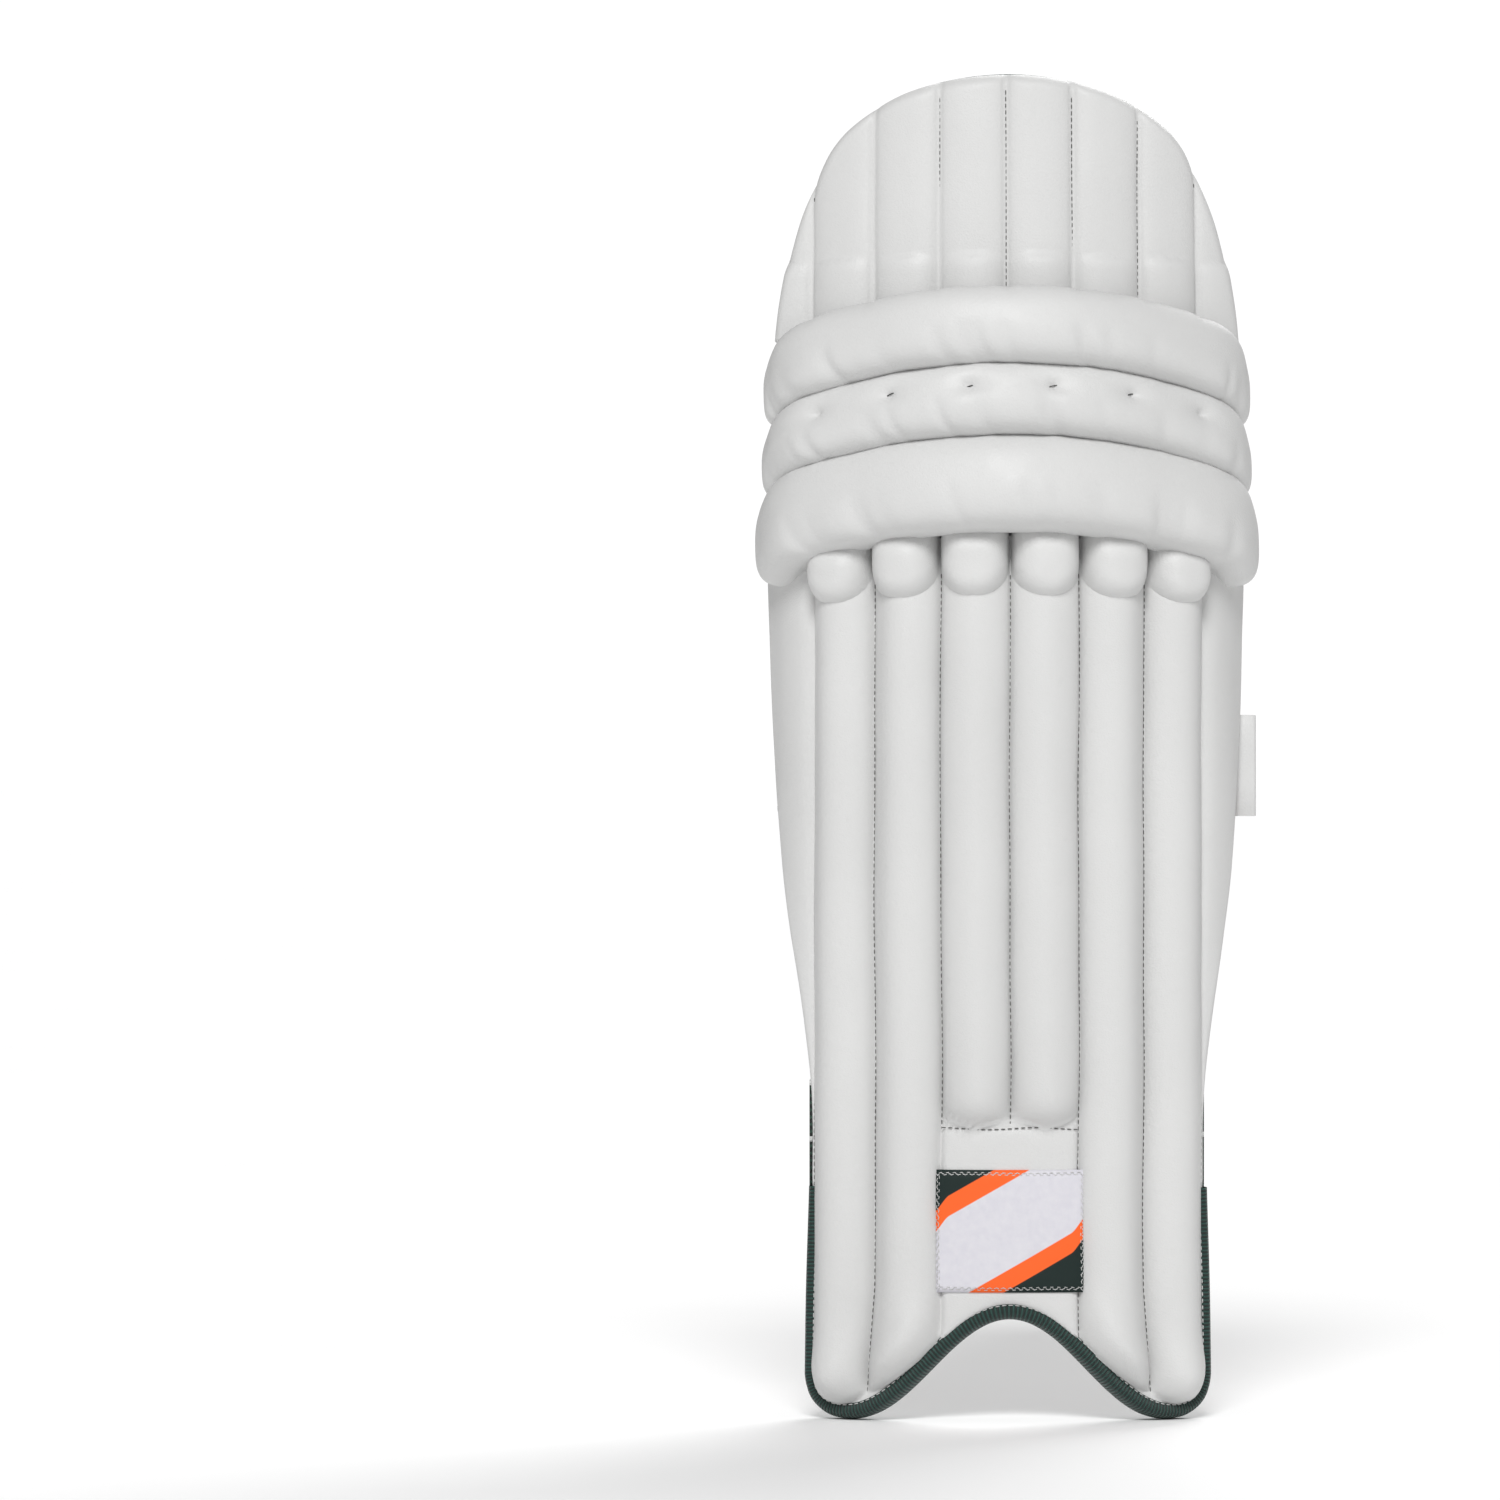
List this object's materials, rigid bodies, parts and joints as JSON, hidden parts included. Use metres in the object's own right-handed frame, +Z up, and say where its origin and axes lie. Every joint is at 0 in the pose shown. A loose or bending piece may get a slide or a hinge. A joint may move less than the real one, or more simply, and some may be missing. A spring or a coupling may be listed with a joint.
{
  "type": "cricket batting leg pad",
  "caption": "Cricket batting leg pad with sewn shin channels, arched knee rolls, top flap, padded wings, mesh knee cradle and buckled leg straps.",
  "frame": {"origin": "middle of the pad's bounding box in X and Y, on the level the toe lobes stand on", "axes": "+Z up the leg, -Y out of the face that meets the ball, +X towards the buckle side"},
  "size_m": [0.2324, 0.1178, 0.6301],
  "materials": {
    "cover_pu": "satin coated fabric",
    "foam": "matte closed-cell foam",
    "cane": "matte split cane",
    "green_lining": "matte cotton weave",
    "orange_lining": "matte brushed nylon",
    "mesh": "matte spacer mesh with round holes",
    "binding_tape": "ribbed tape",
    "webbing": "woven webbing with white stripes",
    "hook": "matte hook tape",
    "loop": "brushed loop tape",
    "buckle_plastic": "gloss moulded",
    "thread": "matte thread",
    "emblem": "printed coated fabric",
    "label": "satin label"
  },
  "bodies": {
    "shin_guard": {"shin_cover": "cover_pu", "channel_foam_1": "foam", "channel_foam_2": "foam", "channel_foam_3": "foam", "channel_foam_4": "foam", "channel_foam_5": "foam", "channel_foam_6": "foam", "shin_canes": "cane", "bolster_heads": "cover_pu", "shin_backing_foam": "foam", "wing_right": "cover_pu", "wing_left": "cover_pu", "wing_lining_right": "orange_lining", "wing_lining_left": "orange_lining", "shin_bolster_right": "mesh", "shin_bolster_left": "mesh", "centre_shin_pad": "green_lining", "instep_lining": "cover_pu", "binding_edge": "binding_tape", "binding_lip": "binding_tape", "emblem_patch": "emblem", "size_label": "label", "side_tab": "cover_pu", "calf_anchor": "webbing", "calf_strap_base": "webbing", "ankle_anchor": "webbing", "ankle_strap_base": "webbing"},
    "knee_guard": {"upper_roll_cover": "cover_pu", "middle_roll_cover": "cover_pu", "lower_roll_cover": "cover_pu", "upper_roll_foam": "foam", "middle_roll_foam": "foam", "lower_roll_foam": "foam", "tuft_ties": "thread", "knee_backing_foam": "foam", "cradle_mesh_right": "mesh", "cradle_mesh_left": "mesh", "knee_cup": "cover_pu", "knee_cup_ring": "orange_lining", "knee_anchor": "webbing", "knee_strap_base": "webbing"},
    "top_flap": {"flap_cover": "cover_pu", "flap_canes": "cane", "flap_foam": "foam", "flap_lining": "green_lining"},
    "knee_strap_run": {"knee_strap": "webbing", "knee_loop_patch": "loop"},
    "knee_tip": {"knee_strap_tip": "webbing", "knee_hook_patch": "hook"},
    "knee_ring": {"knee_buckle": "buckle_plastic"},
    "calf_strap_run": {"calf_strap": "webbing", "calf_loop_patch": "loop"},
    "calf_tip": {"calf_strap_tip": "webbing", "calf_hook_patch": "hook"},
    "calf_ring": {"calf_buckle": "buckle_plastic"},
    "ankle_strap_run": {"ankle_strap": "webbing", "ankle_loop_patch": "loop"},
    "ankle_tip": {"ankle_strap_tip": "webbing", "ankle_hook_patch": "hook"},
    "ankle_ring": {"ankle_buckle": "buckle_plastic"}
  },
  "joints": [
    {"name": "knee_flex", "type": "hinge", "parent": "shin_guard", "child": "knee_guard", "pos_m": [0, -0.046, 0.4165], "axis": [1, 0, 0], "range_deg": [0, 10], "stiffness_Nm_per_rad": 2.5},
    {"name": "flap_flex", "type": "hinge", "parent": "knee_guard", "child": "top_flap", "pos_m": [0, 0.038, 0.5105], "axis": [1, 0, 0], "range_deg": [-12, 2.5], "stiffness_Nm_per_rad": 0.8},
    {"name": "knee_strap_swing", "type": "hinge", "parent": "knee_guard", "child": "knee_strap_run", "pos_m": [-0.1045, 0.0532, 0.426], "axis": [0, 0, 1], "range_deg": [0, 100]},
    {"name": "knee_tip_peel", "type": "hinge", "parent": "knee_strap_run", "child": "knee_tip", "pos_m": [0.0845, 0.0596, 0.426], "axis": [0, 0, -1], "range_deg": [0, 100]},
    {"name": "knee_ring_rock", "type": "hinge", "parent": "knee_guard", "child": "knee_ring", "pos_m": [0.0955, 0.0564, 0.426], "axis": [0, 0, 1], "range_deg": [-2.5, 2.5]},
    {"name": "calf_strap_swing", "type": "hinge", "parent": "shin_guard", "child": "calf_strap_run", "pos_m": [-0.1015, 0.04, 0.311], "axis": [0, 0, 1], "range_deg": [0, 100]},
    {"name": "calf_tip_peel", "type": "hinge", "parent": "calf_strap_run", "child": "calf_tip", "pos_m": [0.069, 0.0464, 0.311], "axis": [0, 0, -1], "range_deg": [0, 100]},
    {"name": "calf_ring_rock", "type": "hinge", "parent": "shin_guard", "child": "calf_ring", "pos_m": [0.082, 0.0432, 0.311], "axis": [0, 0, 1], "range_deg": [-2.5, 2.5]},
    {"name": "ankle_strap_swing", "type": "hinge", "parent": "shin_guard", "child": "ankle_strap_run", "pos_m": [-0.0865, 0.0244, 0.132], "axis": [0, 0, 1], "range_deg": [0, 100]},
    {"name": "ankle_tip_peel", "type": "hinge", "parent": "ankle_strap_run", "child": "ankle_tip", "pos_m": [0.0605, 0.0308, 0.132], "axis": [0, 0, -1], "range_deg": [0, 100]},
    {"name": "ankle_ring_rock", "type": "hinge", "parent": "shin_guard", "child": "ankle_ring", "pos_m": [0.0735, 0.0276, 0.132], "axis": [0, 0, 1], "range_deg": [-2.5, 2.5]}
  ]
}
